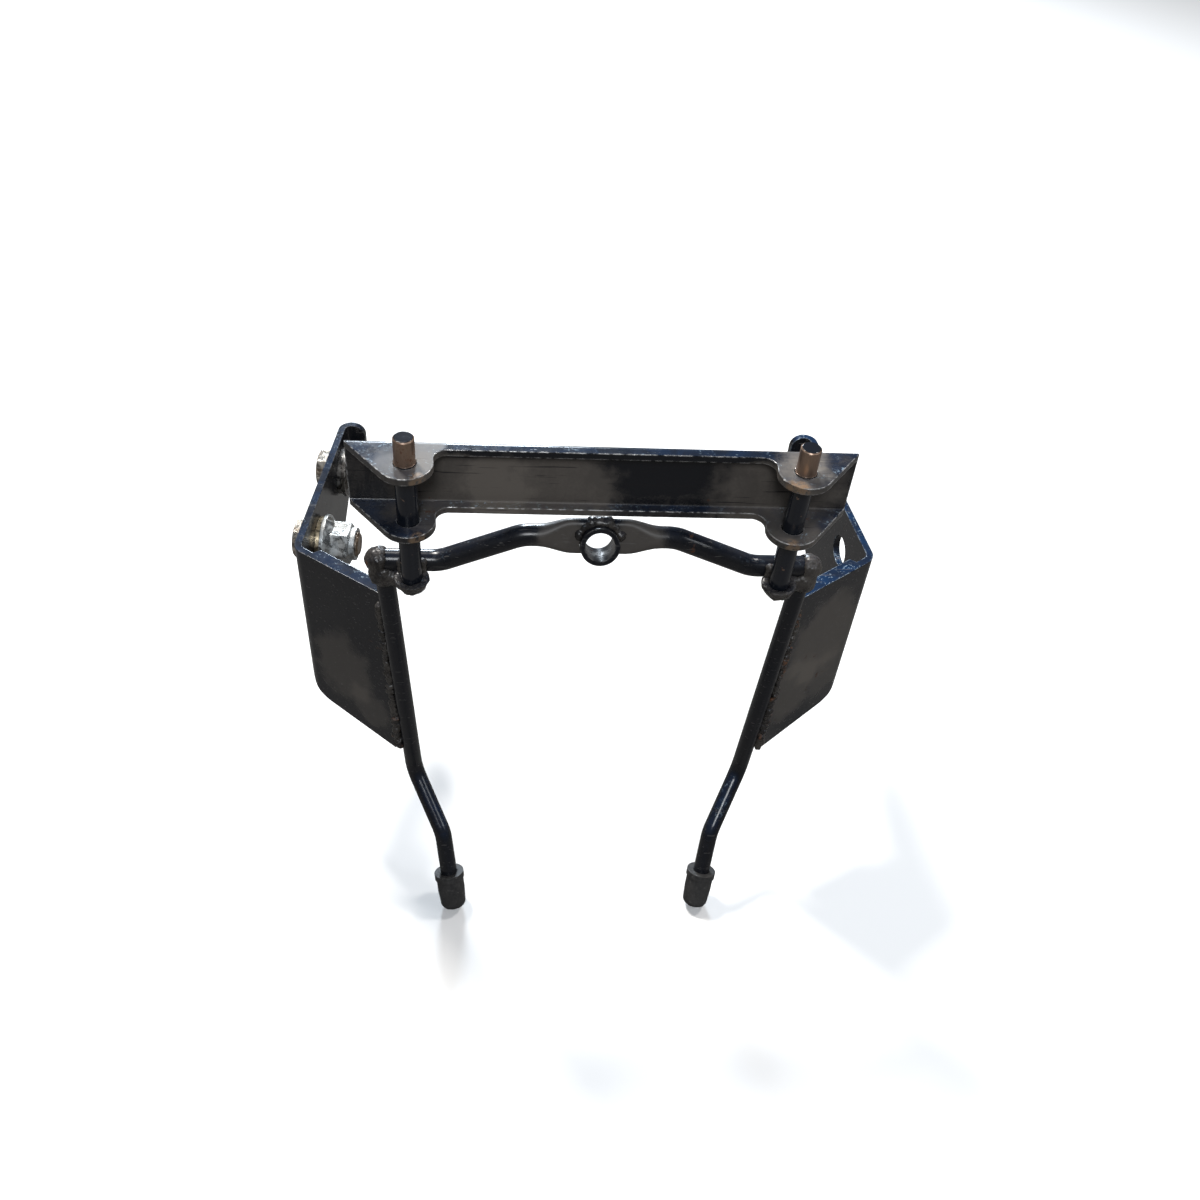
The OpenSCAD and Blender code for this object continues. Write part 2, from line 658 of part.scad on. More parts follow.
module left_pin() { mirror([1, 0, 0]) pin(); }
module right_pin() { pin(); }
module left_pin_weld() { mirror([1, 0, 0]) pin_weld(); }
module right_pin_weld() { pin_weld(); }
module left_leg_rod() { mirror([1, 0, 0]) leg_rod(); }
module right_leg_rod() { leg_rod(); }
module left_corner_weld() { mirror([1, 0, 0]) corner_weld(); }
module right_corner_weld() { corner_weld(); }
module left_side_plate() { mirror([1, 0, 0]) side_plate(); }
module right_side_plate() { side_plate(); }
module left_plate_weld() { mirror([1, 0, 0]) plate_weld(); }
module right_plate_weld() { plate_weld(); }
module left_foot_cap() { mirror([1, 0, 0]) foot_cap(); }
module right_foot_cap() { foot_cap(); }
module front_bolt() { color(zinc) on_left_plate(front_hole_back, front_hole_drop) bolt(); }
module front_washer() { color(yellow_zinc) on_left_plate(front_hole_back, front_hole_drop) washer(); }
module front_flange_nut() { color(zinc) on_left_plate(front_hole_back, front_hole_drop) flange_nut(); }
module rear_bolt() { color(zinc) on_left_plate(rear_hole_back, rear_hole_drop) bolt(); }
module rear_washer() { color(zinc) on_left_plate(rear_hole_back, rear_hole_drop) washer(); }
module rear_flange_nut() { color(zinc) on_left_plate(rear_hole_back, rear_hole_drop) flange_nut(); }

cross_channel();
left_pin();
right_pin();
left_pin_weld();
right_pin_weld();
cross_tube();
centre_sleeve();
sleeve_weld();
left_leg_rod();
right_leg_rod();
left_corner_weld();
right_corner_weld();
left_side_plate();
right_side_plate();
left_plate_weld();
right_plate_weld();
left_foot_cap();
right_foot_cap();
front_bolt();
front_washer();
front_flange_nut();
rear_bolt();
rear_washer();
rear_flange_nut();
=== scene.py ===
import logging
import math
from dataclasses import dataclass
from enum import Enum

import bpy
from mathutils import Matrix, Vector, noise


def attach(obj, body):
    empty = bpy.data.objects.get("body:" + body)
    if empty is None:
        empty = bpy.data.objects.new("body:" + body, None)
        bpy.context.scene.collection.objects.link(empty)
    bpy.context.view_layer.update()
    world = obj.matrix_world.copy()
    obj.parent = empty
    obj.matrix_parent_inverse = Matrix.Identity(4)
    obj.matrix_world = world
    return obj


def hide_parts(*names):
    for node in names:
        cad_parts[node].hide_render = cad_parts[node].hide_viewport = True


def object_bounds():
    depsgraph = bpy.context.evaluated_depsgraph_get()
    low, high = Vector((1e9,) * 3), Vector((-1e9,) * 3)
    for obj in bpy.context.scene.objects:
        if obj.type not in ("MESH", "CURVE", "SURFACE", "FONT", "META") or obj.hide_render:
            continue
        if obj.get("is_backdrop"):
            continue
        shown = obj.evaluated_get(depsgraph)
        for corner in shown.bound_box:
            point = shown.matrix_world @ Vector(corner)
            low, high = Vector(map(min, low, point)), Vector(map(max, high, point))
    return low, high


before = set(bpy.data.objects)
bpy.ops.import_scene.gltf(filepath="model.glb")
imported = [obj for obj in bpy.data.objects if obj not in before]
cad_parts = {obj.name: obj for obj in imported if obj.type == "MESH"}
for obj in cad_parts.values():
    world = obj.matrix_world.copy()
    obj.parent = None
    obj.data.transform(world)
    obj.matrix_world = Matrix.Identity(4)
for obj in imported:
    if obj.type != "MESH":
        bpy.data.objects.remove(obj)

LOG = logging.getLogger("headlight_bracket")
ROOT = "root"
MM = 0.001
Colour = tuple[float, float, float]
Point = tuple[float, float, float]
BEVEL_SAMPLES = 6
# Colours of the painted sky reflection on paint that faces up: its blue cast and its painted glints.
PAINTED_SKY_BLUE: Colour = (0.006, 0.026, 0.075)
PAINTED_GLINT_BLUE: Colour = (0.42, 0.56, 0.68)


class Axis(Enum):
    """Names of the three vector components, as Separate XYZ gives them."""

    X = "X"
    Y = "Y"
    Z = "Z"


class Blend(Enum):
    """Ways of combining two masks."""

    ADD = "ADD"
    MULTIPLY = "MULTIPLY"
    MAXIMUM = "MAXIMUM"
    SUBTRACT = "SUBTRACT"


class NodeTree:
    """A thin helper that adds and links shader nodes in one tree."""

    def __init__(self, tree: bpy.types.NodeTree) -> None:
        """Keeps the tree to build in.

        Args:
            tree: The node tree of a material or a node group.
        """
        self.tree = tree
        self.column = 0

    def add(self, kind: str, **settings: object) -> bpy.types.Node:
        """Adds a node.

        Args:
            kind: The node's type name.
            **settings: Attributes to set on the new node.

        Returns:
            The new node.
        """
        node = self.tree.nodes.new(kind)
        for name, value in settings.items():
            setattr(node, name, value)
        node.location = (self.column * 190, -(self.column % 5) * 170)
        self.column += 1
        return node

    def link(self, source: bpy.types.NodeSocket, target: bpy.types.NodeSocket) -> None:
        """Links an output socket to an input socket.

        Args:
            source: The output socket.
            target: The input socket.
        """
        self.tree.links.new(source, target)

    def feed(self, target: bpy.types.NodeSocket, value: object) -> None:
        """Links a socket or sets a plain value.

        Args:
            target: The input socket.
            value: An output socket, or a value for the input's default.
        """
        if isinstance(value, bpy.types.NodeSocket):
            self.link(value, target)
        else:
            target.default_value = value

    def math(self, how: Blend, first: object, second: object) -> bpy.types.NodeSocket:
        """Combines two values.

        Args:
            how: The operation.
            first: A socket or a number.
            second: A socket or a number.

        Returns:
            The result's socket, clamped to 0 to 1.
        """
        node = self.add("ShaderNodeMath", operation=how.value, use_clamp=True)
        self.feed(node.inputs[0], first)
        self.feed(node.inputs[1], second)
        return node.outputs[0]

    def ramp(self, value: bpy.types.NodeSocket, low: float, high: float) -> bpy.types.NodeSocket:
        """Stretches a range of a value smoothly to 0 to 1.

        Args:
            value: The value's socket.
            low: What becomes 0.
            high: What becomes 1.

        Returns:
            The stretched value's socket.
        """
        node = self.add("ShaderNodeMapRange", interpolation_type="SMOOTHSTEP")
        self.link(value, node.inputs["Value"])
        node.inputs["From Min"].default_value = low
        node.inputs["From Max"].default_value = high
        return node.outputs["Result"]

    def mix(self, mask: object, base: object, top: object) -> bpy.types.NodeSocket:
        """Mixes two colours by a mask.

        Args:
            mask: A socket or a number from 0 to 1.
            base: The colour where the mask is 0.
            top: The colour where the mask is 1.

        Returns:
            The mixed colour's socket.
        """
        node = self.add("ShaderNodeMix", data_type="RGBA")
        self.feed(node.inputs[0], mask)
        self.feed(node.inputs[6], base)
        self.feed(node.inputs[7], top)
        return node.outputs[2]

    def mix_value(self, mask: object, base: object, top: object) -> bpy.types.NodeSocket:
        """Mixes two numbers by a mask, as mix does with colours.

        Args:
            mask: A socket or a number from 0 to 1.
            base: The number where the mask is 0.
            top: The number where the mask is 1.

        Returns:
            The mixed number's socket.
        """
        node = self.add("ShaderNodeMix", data_type="FLOAT")
        self.feed(node.inputs[0], mask)
        self.feed(node.inputs[2], base)
        self.feed(node.inputs[3], top)
        return node.outputs[0]

    def place(self, scale: Point = (1.0, 1.0, 1.0), turn: Point = (0.0, 0.0, 0.0)) -> bpy.types.NodeSocket:
        """Gives the object's own coordinates, scaled and turned.

        Args:
            scale: Factors along X, Y and Z.
            turn: Turns about X, Y and Z, in radians.

        Returns:
            The coordinates' socket.
        """
        where = self.add("ShaderNodeTexCoord")
        mapping = self.add("ShaderNodeMapping")
        self.link(where.outputs["Object"], mapping.inputs["Vector"])
        mapping.inputs["Scale"].default_value = scale
        mapping.inputs["Rotation"].default_value = turn
        return mapping.outputs["Vector"]

    def noise(self, scale: object, detail: float = 4.0, vector: bpy.types.NodeSocket | None = None,
              rough: float = 0.55, warp: float = 0.0) -> bpy.types.NodeSocket:
        """Adds a noise texture.

        Args:
            scale: Ripples per metre, a number or a socket.
            detail: Octaves.
            vector: Coordinates, the object's own by default.
            rough: How strong the finer octaves are.
            warp: Distortion.

        Returns:
            The noise value's socket.
        """
        node = self.add("ShaderNodeTexNoise")
        self.link(vector or self.place(), node.inputs["Vector"])
        self.feed(node.inputs["Scale"], scale)
        node.inputs["Detail"].default_value = detail
        node.inputs["Roughness"].default_value = rough
        node.inputs["Distortion"].default_value = warp
        return node.outputs["Fac"]


class EffectGroup:
    """A shader node group with named inputs and outputs, built once."""

    def __init__(self, name: str, inputs: dict[str, float], outputs: list[str]) -> None:
        """Makes the group and its sockets.

        Args:
            name: The group's name.
            inputs: Each input's name and default value.
            outputs: The names of the outputs, all of them masks.
        """
        self.tree = bpy.data.node_groups.new(name, "ShaderNodeTree")
        for label, value in inputs.items():
            socket = self.tree.interface.new_socket(label, in_out="INPUT", socket_type="NodeSocketFloat")
            socket.default_value = value
        for label in outputs:
            self.tree.interface.new_socket(label, in_out="OUTPUT", socket_type="NodeSocketFloat")
        self.build = NodeTree(self.tree)
        self.source = self.build.add("NodeGroupInput")
        self.sink = self.build.add("NodeGroupOutput")

    def use(self, target: NodeTree, **values: object) -> bpy.types.Node:
        """Places the group in a material.

        Args:
            target: The material's tree.
            **values: Values or sockets for the inputs, by name.

        Returns:
            The group's node.
        """
        node = target.add("ShaderNodeGroup")
        node.node_tree = self.tree
        for label, value in values.items():
            target.feed(node.inputs[label], value)
        return node


class Effects:
    """The surface effects that several finishes share."""

    def __init__(self) -> None:
        """Builds every effect once."""
        self.dust = self._dust()
        self.rust = self._rust()
        self.wear = self._wear()
        self.scratch = self._scratch()
        self.patch = self._patch()
        self.painted_sky = self._painted_sky()

    @staticmethod
    def _dust() -> EffectGroup:
        """Builds dust that lies in clouds and streaks.

        Returns:
            The group, with Amount and Grain inputs and a Mask output.
        """
        group = EffectGroup("settled_dust", {"Amount": 0.5, "Grain": 90.0}, ["Mask"])
        tree = group.build
        cloud = tree.ramp(tree.noise(group.source.outputs["Grain"], 6.0, warp=0.6), 0.34, 0.68)
        streak = tree.ramp(tree.noise(30.0, 5.0, tree.place((0.5, 1.0, 2.2)), warp=1.2), 0.3, 0.7)
        speck = tree.ramp(tree.noise(1100.0, 4.0, rough=0.7), 0.38, 0.62)
        smear = tree.ramp(tree.noise(1.0, 3.0, tree.place((190.0, 190.0, 60.0), (0.2, 0.5, 0.1)), warp=0.8), 0.36, 0.5)
        layer = tree.mix_value(0.5, cloud, streak)
        layer = tree.mix_value(0.32, layer, speck)
        layer = tree.math(Blend.MULTIPLY, layer, tree.mix_value(0.65, 1.0, smear))
        mask = tree.math(Blend.MULTIPLY, layer, group.source.outputs["Amount"])
        tree.link(mask, group.sink.inputs["Mask"])
        return group

    @staticmethod
    def _rust() -> EffectGroup:
        """Builds rust specks that gather in clusters.

        Returns:
            The group, with Amount and Size inputs and a Mask output.
        """
        group = EffectGroup("rust_bloom", {"Amount": 0.2, "Size": 260.0}, ["Mask"])
        tree = group.build
        fine = tree.noise(group.source.outputs["Size"], 7.0, rough=0.68)
        broad = tree.noise(45.0, 3.0)
        level = tree.math(Blend.MULTIPLY, fine, broad)
        level = tree.math(Blend.ADD, level, tree.math(Blend.MULTIPLY, group.source.outputs["Amount"], 0.25))
        tree.link(tree.ramp(level, 0.40, 0.50), group.sink.inputs["Mask"])
        return group

    @staticmethod
    def _wear() -> EffectGroup:
        """Builds a mask of rubbed sharp edges.

        Returns:
            The group, with Radius and Amount inputs and a Mask output.
        """
        group = EffectGroup("edge_wear", {"Radius": 0.0008, "Amount": 0.5}, ["Mask"])
        tree = group.build
        bevel = tree.add("ShaderNodeBevel", samples=BEVEL_SAMPLES)
        tree.link(group.source.outputs["Radius"], bevel.inputs["Radius"])
        shape = tree.add("ShaderNodeNewGeometry")
        dot = tree.add("ShaderNodeVectorMath", operation="DOT_PRODUCT")
        tree.link(bevel.outputs["Normal"], dot.inputs[0])
        tree.link(shape.outputs["True Normal"], dot.inputs[1])
        turn = tree.math(Blend.SUBTRACT, 1.0, dot.outputs["Value"])
        edge = tree.ramp(turn, 0.015, 0.12)
        broken = tree.ramp(tree.noise(420.0, 5.0), 0.4, 0.62)
        mask = tree.math(Blend.MULTIPLY, edge, broken)
        mask = tree.math(Blend.MULTIPLY, mask, group.source.outputs["Amount"])
        tree.link(mask, group.sink.inputs["Mask"])
        return group

    @staticmethod
    def _scratch() -> EffectGroup:
        """Builds thin scratches in two directions.

        Returns:
            The group, with an Amount input and a Mask output.
        """
        group = EffectGroup("thin_scratches", {"Amount": 0.4}, ["Mask"])
        tree = group.build
        total: object = 0.0
        for turn, stretch in (((0.3, 0.5, 0.2), (26.0, 900.0, 900.0)), ((1.1, -0.6, 0.9), (34.0, 1100.0, 1100.0))):
            line = tree.noise(1.0, 3.0, tree.place(stretch, turn))
            total = tree.math(Blend.MAXIMUM, total, tree.ramp(line, 0.655, 0.70))
        mask = tree.math(Blend.MULTIPLY, total, group.source.outputs["Amount"])
        tree.link(mask, group.sink.inputs["Mask"])
        return group

    @staticmethod
    def _patch() -> EffectGroup:
        """Builds a soft, ragged blot round a point, kept off faces that look to the back.

        Returns:
            The group, with X, Y, Z, Reach and Tall inputs and a Mask output.
        """
        group = EffectGroup("ragged_blot", {"X": 0.0, "Y": 0.0, "Z": 0.0, "Reach": 0.02, "Tall": 1.0}, ["Mask"])
        tree = group.build
        point = tree.add("ShaderNodeCombineXYZ")
        for axis in Axis:
            tree.link(group.source.outputs[axis.value], point.inputs[axis.value])
        away = tree.add("ShaderNodeVectorMath", operation="SUBTRACT")
        tree.link(tree.place(), away.inputs[0])
        tree.link(point.outputs[0], away.inputs[1])
        shape = tree.add("ShaderNodeCombineXYZ")
        for axis in (Axis.X, Axis.Y):
            shape.inputs[axis.value].default_value = 1.0
        tree.link(group.source.outputs["Tall"], shape.inputs["Z"])
        scaled = tree.add("ShaderNodeVectorMath", operation="MULTIPLY")
        tree.link(away.outputs[0], scaled.inputs[0])
        tree.link(shape.outputs[0], scaled.inputs[1])
        length = tree.add("ShaderNodeVectorMath", operation="LENGTH")
        tree.link(scaled.outputs[0], length.inputs[0])
        share = tree.add("ShaderNodeMath", operation="DIVIDE")
        tree.link(length.outputs["Value"], share.inputs[0])
        tree.link(group.source.outputs["Reach"], share.inputs[1])
        ragged = tree.add("ShaderNodeMath", operation="MULTIPLY_ADD")
        tree.link(tree.noise(110.0, 5.0), ragged.inputs[0])
        ragged.inputs[1].default_value = 0.9
        tree.link(share.outputs[0], ragged.inputs[2])
        near = tree.math(Blend.SUBTRACT, 1.0, tree.ramp(ragged.outputs[0], 1.12, 1.52))
        spread = tree.add("ShaderNodeSeparateXYZ")
        tree.link(tree.add("ShaderNodeNewGeometry").outputs["Normal"], spread.inputs[0])
        front = tree.ramp(spread.outputs["Y"], 0.75, 0.5)
        tree.link(tree.math(Blend.MULTIPLY, near, front), group.sink.inputs["Mask"])
        return group

    @staticmethod
    def _painted_sky() -> EffectGroup:
        """Builds a painted sky reflection on paint that faces up: a blue cast and small painted glints.

        Returns:
            The group, with an Amount input and Mask and PaintedGlint outputs.
        """
        # Painted light: where the normal points up, a blue cast and glints paint the sky's reflection into the colour.
        group = EffectGroup("painted_sky_cast", {"Amount": 0.5}, ["Mask", "PaintedGlint"])
        tree = group.build
        shape = tree.add("ShaderNodeNewGeometry")
        spread = tree.add("ShaderNodeSeparateXYZ")
        tree.link(shape.outputs["Normal"], spread.inputs[0])
        up = tree.ramp(spread.outputs["Z"], 0.35, 0.95)
        cloud = tree.mix_value(tree.ramp(tree.noise(130.0, 4.0, warp=0.5), 0.35, 0.65), 0.35, 1.0)
        mask = tree.math(Blend.MULTIPLY, tree.math(Blend.MULTIPLY, up, cloud), group.source.outputs["Amount"])
        tree.link(mask, group.sink.inputs["Mask"])
        grain = tree.ramp(tree.noise(950.0, 3.0, rough=0.7), 0.55, 0.64)
        cluster = tree.ramp(tree.noise(170.0, 3.0), 0.48, 0.66)
        painted_glint = tree.math(Blend.MULTIPLY, tree.math(Blend.MULTIPLY, grain, cluster), mask)
        tree.link(painted_glint, group.sink.inputs["PaintedGlint"])
        return group


@dataclass(frozen=True)
class Blot:
    """One named place on the paint that is cleaner, dirtier or rubbed bare.

    Attributes:
        centre: Its centre, in millimetres.
        reach: Its reach, in millimetres.
        tall: How much smaller its height is than its width.
        dust: Dust there, from -1, wiped clean, to 1, thick.
        bare: How much of the paint is rubbed off there.
    """

    centre: Point
    reach: float
    tall: float = 1.0
    dust: float = 0.0
    bare: float = 0.0

    def mask(self, tree: NodeTree, effects: Effects) -> bpy.types.NodeSocket:
        """Places the blot in a material.

        Args:
            tree: The material's tree.
            effects: The shared effect groups.

        Returns:
            The blot's mask.
        """
        x, y, z = (value * MM for value in self.centre)
        return effects.patch.use(tree, X=x, Y=y, Z=z, Reach=self.reach * MM, Tall=self.tall).outputs["Mask"]


@dataclass(frozen=True)
class GlossPaint:
    """Old black gloss paint with dust, scratches, rubbed edges and rust specks, and a painted sky reflection with
    painted glints on what faces up.

    Attributes:
        name: The material's name.
        colour: The clean paint's colour.
        dust: Amount of dust.
        rust: Amount of rust specks.
        scratches: Strength of the scratches.
        wear: Strength of the rubbed edges.
        gloss: Roughness of the clean paint.
        dust_colour: The colour of thick dust.
        rust_colour: The colour of the rust specks.
        scratch_colour: What the scratches show.
        edge_wear_and_highlight_colour: The metal that shows on rubbed edges; set pale or bluish, it also paints
            highlights along them.
        bare_colour: The metal that shows in rubbed places.
        painted_sky: Strength of the painted sky reflection, a blue cast and painted glints on what faces up.
        blots: Places that differ from the rest.
        round_edge: Radius of the shading's rounded edges, in millimetres.
        specular: The shader's specular level.
    """

    name: str
    colour: Colour = (0.006, 0.007, 0.010)
    dust: float = 0.4
    rust: float = 0.1
    scratches: float = 0.4
    wear: float = 0.4
    gloss: float = 0.2
    dust_colour: Colour = (0.135, 0.120, 0.105)
    rust_colour: Colour = (0.075, 0.030, 0.013)
    scratch_colour: Colour = (0.13, 0.125, 0.12)
    edge_wear_and_highlight_colour: Colour = (0.34, 0.33, 0.32)
    bare_colour: Colour = (0.42, 0.29, 0.19)
    painted_sky: float = 0.4
    blots: tuple[Blot, ...] = ()
    round_edge: float = 0.6
    specular: float = 0.34

    def make(self, effects: Effects) -> bpy.types.Material:
        """Builds the material.

        Args:
            effects: The shared effect groups.

        Returns:
            The new material.
        """
        material, tree, shader = start_material(self.name)
        shader.inputs["Specular IOR Level"].default_value = self.specular
        dust, bare = self._places(tree, effects)
        painted_sky = effects.painted_sky.use(tree, Amount=self.painted_sky)
        rust = effects.rust.use(tree, Amount=self.rust).outputs["Mask"]
        wear = effects.wear.use(tree, Amount=self.wear).outputs["Mask"]
        scratch = effects.scratch.use(tree, Amount=self.scratches).outputs["Mask"]
        # Painted reflection of the sky: a blue tint and painted glints mixed into the colour where the paint faces up,
        # kept off the dust.
        painted_sky_tint = tree.math(Blend.MULTIPLY, painted_sky.outputs["Mask"], tree.math(Blend.SUBTRACT, 1.0, dust))
        colour: object = (*self.colour, 1.0)
        for mask, top in ((dust, self.dust_colour), (painted_sky_tint, PAINTED_SKY_BLUE), (scratch, self.scratch_colour),
                          (painted_sky.outputs["PaintedGlint"], PAINTED_GLINT_BLUE), (wear, self.edge_wear_and_highlight_colour),
                          (bare, self.bare_colour), (rust, self.rust_colour)):
            colour = tree.mix(mask, colour, (*top, 1.0))
        tree.link(colour, shader.inputs["Base Color"])
        if self.wear or any(blot.bare for blot in self.blots):
            metal = tree.math(Blend.MAXIMUM, tree.math(Blend.MULTIPLY, wear, 0.6), bare)
            tree.link(tree.mix_value(rust, metal, 0.0), shader.inputs["Metallic"])
        rough = tree.mix_value(tree.noise(240.0, 4.0), self.gloss * 0.6, self.gloss * 1.5)
        for mask, top in ((dust, 0.6), (bare, 0.34), (wear, 0.3), (rust, 0.85)):
            rough = tree.mix_value(mask, rough, top)
        tree.link(rough, shader.inputs["Roughness"])
        wave = tree.math(Blend.MULTIPLY, tree.noise(420.0, 3.0), 0.45)
        height = tree.math(Blend.ADD, wave, tree.math(Blend.MULTIPLY, rust, 0.5))
        height = tree.math(Blend.SUBTRACT, height, tree.math(Blend.MULTIPLY, scratch, 0.4))
        add_bump(tree, shader, height, 0.3, 0.00012, self.round_edge)
        return material

    def _places(self, tree: NodeTree, effects: Effects) -> tuple[object, object]:
        """Builds the masks of dust and of bare metal, with the blots in them.

        Args:
            tree: The material's tree.
            effects: The shared effect groups.

        Returns:
            The dust mask and the bare metal's mask.
        """
        dust: object = effects.dust.use(tree, Amount=self.dust, Grain=70.0).outputs["Mask"]
        bare: object = 0.0
        for blot in self.blots:
            mask = blot.mask(tree, effects)
            if blot.dust:
                amount = tree.math(Blend.MULTIPLY, mask, abs(blot.dust))
                dust = tree.math(Blend.ADD if blot.dust > 0 else Blend.SUBTRACT, dust, amount)
            if blot.bare:
                flaked = tree.math(Blend.MULTIPLY, mask, tree.ramp(tree.noise(520.0, 5.0, rough=0.65), 0.36, 0.56))
                bare = tree.math(Blend.MAXIMUM, bare, tree.math(Blend.MULTIPLY, flaked, blot.bare))
        return dust, bare


@dataclass(frozen=True)
class RubbedSteel:
    """Bare rod steel with brown rust in streaks and a dark top.

    Attributes:
        name: The material's name.
        steel: The bare metal's colour.
        rust: The rust's colour.
        rust_amount: How much of it is rust.
        dark_above: Height in millimetres above which the end is dark, or None.
        paint: The colour of the dark end and of the paint left near the ear.
        paint_top: Height in millimetres up to which paint is left.
        fade: How far the dark end fades, in millimetres.
    """

    name: str
    steel: Colour = (0.40, 0.29, 0.22)
    rust: Colour = (0.13, 0.062, 0.036)
    rust_amount: float = 0.5
    dark_above: float | None = None
    paint: Colour = (0.006, 0.008, 0.013)
    paint_top: float = 39.0
    fade: float = 0.3

    def make(self, effects: Effects) -> bpy.types.Material:
        """Builds the material.

        Args:
            effects: The shared effect groups.

        Returns:
            The new material.
        """
        material, tree, shader = start_material(self.name)
        streak = tree.ramp(tree.noise(1.0, 5.0, tree.place((420.0, 420.0, 90.0))), 0.35, 0.65)
        speck = effects.rust.use(tree, Amount=self.rust_amount, Size=700.0).outputs["Mask"]
        mask = tree.math(Blend.MAXIMUM, tree.math(Blend.MULTIPLY, streak, self.rust_amount), speck)
        colour = tree.mix(mask, (*self.steel, 1.0), (*self.rust, 1.0))
        metal = tree.mix_value(mask, 1.0, 0.25)
        rough = tree.mix_value(mask, 0.34, 0.7)
        if self.dark_above is not None:
            spread = tree.add("ShaderNodeSeparateXYZ")
            tree.link(tree.place(), spread.inputs[0])
            paint = tree.ramp(spread.outputs["Z"], (self.dark_above - self.fade) * MM, self.dark_above * MM)
            below = tree.ramp(spread.outputs["Z"], self.paint_top * MM, (self.paint_top - 2 * self.fade) * MM)
            chips = tree.ramp(tree.noise(260.0, 5.0), 0.27, 0.36)
            paint = tree.math(Blend.MAXIMUM, paint, tree.math(Blend.MULTIPLY, below, chips))
            colour = tree.mix(paint, colour, (*self.paint, 1.0))
            metal = tree.mix_value(paint, metal, 0.0)
            rough = tree.mix_value(paint, rough, 0.16)
        tree.link(colour, shader.inputs["Base Color"])
        tree.link(metal, shader.inputs["Metallic"])
        tree.link(rough, shader.inputs["Roughness"])
        add_bump(tree, shader, tree.math(Blend.MULTIPLY, mask, 0.5), 0.3, 0.0001, 0.3)
        return material


@dataclass(frozen=True)
class ZincPlate:
    """Dull zinc plate with grey bloom, dirt and a few scratches.

    Attributes:
        name: The material's name.
        bright: The clean plate's colour.
        stain: The colour of its stains.
        stain_amount: How much of it is stained.
        spots: Places with the full stain.
        bloom_gain: How much paler the bloom is than the clean plate.
        pit: The colour of its pits.
        edge: The colour of its rubbed edges.
        scratch: The colour of its scratches.
    """

    name: str
    bright: Colour = (0.34, 0.36, 0.37)
    stain: Colour = (0.19, 0.16, 0.12)
    stain_amount: float = 0.5
    spots: tuple[Blot, ...] = ()
    bloom_gain: float = 1.35
    pit: Colour = (0.06, 0.055, 0.05)
    edge: Colour = (0.72, 0.71, 0.68)
    scratch: Colour = (0.20, 0.18, 0.16)

    def make(self, effects: Effects) -> bpy.types.Material:
        """Builds the material.

        Args:
            effects: The shared effect groups.

        Returns:
            The new material.
        """
        material, tree, shader = start_material(self.name)
        bloom = tree.ramp(tree.noise(240.0, 7.0, rough=0.66, warp=1.2), 0.42, 0.6)
        pit = tree.ramp(tree.noise(620.0, 5.0, rough=0.7), 0.60, 0.70)
        stain = tree.math(Blend.MULTIPLY, tree.ramp(tree.noise(95.0, 5.0, warp=1.0), 0.4, 0.62), self.stain_amount)
        for spot in self.spots:
            stain = tree.math(Blend.MAXIMUM, stain, tree.math(Blend.MULTIPLY, spot.mask(tree, effects), spot.dust))
        wear = effects.wear.use(tree, Amount=0.7, Radius=0.0005).outputs["Mask"]
        scratch = effects.scratch.use(tree, Amount=0.5).outputs["Mask"]
        pale = tuple(min(1.0, value * self.bloom_gain) for value in self.bright)
        colour = tree.mix(bloom, (*self.bright, 1.0), (*pale, 1.0))
        colour = tree.mix(stain, colour, (*self.stain, 1.0))
        colour = tree.mix(tree.math(Blend.MULTIPLY, pit, 0.5), colour, (*self.pit, 1.0))
        colour = tree.mix(wear, colour, (*self.edge, 1.0))
        colour = tree.mix(scratch, colour, (*self.scratch, 1.0))
        tree.link(colour, shader.inputs["Base Color"])
        tree.link(tree.mix_value(bloom, 0.9, 0.35), shader.inputs["Metallic"])
        tree.link(tree.mix_value(bloom, 0.26, 0.55), shader.inputs["Roughness"])
        height = tree.math(Blend.SUBTRACT, tree.math(Blend.MULTIPLY, bloom, 0.6), tree.math(Blend.MULTIPLY, pit, 0.4))
        add_bump(tree, shader, height, 0.45, 0.00015, 0.45)
        return material


@dataclass(frozen=True)
class CapRubber:
    """Black rubber that has gone grey in scuffs.

    Attributes:
        name: The material's name.
        colour: The clean rubber's colour.
        scuff: The colour of its scuffs.
        scratch: The colour of its scratches.
    """

    name: str
    colour: Colour = (0.010, 0.010, 0.011)
    scuff: Colour = (0.080, 0.078, 0.076)
    scratch: Colour = (0.13, 0.125, 0.12)

    def make(self, effects: Effects) -> bpy.types.Material:
        """Builds the material.

        Args:
            effects: The shared effect groups.

        Returns:
            The new material.
        """
        material, tree, shader = start_material(self.name)
        dust = effects.dust.use(tree, Amount=0.55, Grain=160.0).outputs["Mask"]
        scratch = effects.scratch.use(tree, Amount=0.7).outputs["Mask"]
        colour = tree.mix(dust, (*self.colour, 1.0), (*self.scuff, 1.0))
        colour = tree.mix(scratch, colour, (*self.scratch, 1.0))
        tree.link(colour, shader.inputs["Base Color"])
        tree.link(tree.mix_value(dust, 0.42, 0.75), shader.inputs["Roughness"])
        add_bump(tree, shader, tree.noise(430.0, 6.0), 0.5, 0.0004, 0.5)
        return material


def start_material(name: str) -> tuple[bpy.types.Material, NodeTree, bpy.types.Node]:
    """Makes a material with one Principled shader.

    Args:
        name: The material's name.

    Returns:
        The material, a helper for its tree, and the shader node.
    """
    material = bpy.data.materials.new(name)
    material.use_nodes = True
    tree = NodeTree(material.node_tree)
    return material, tree, material.node_tree.nodes["Principled BSDF"]


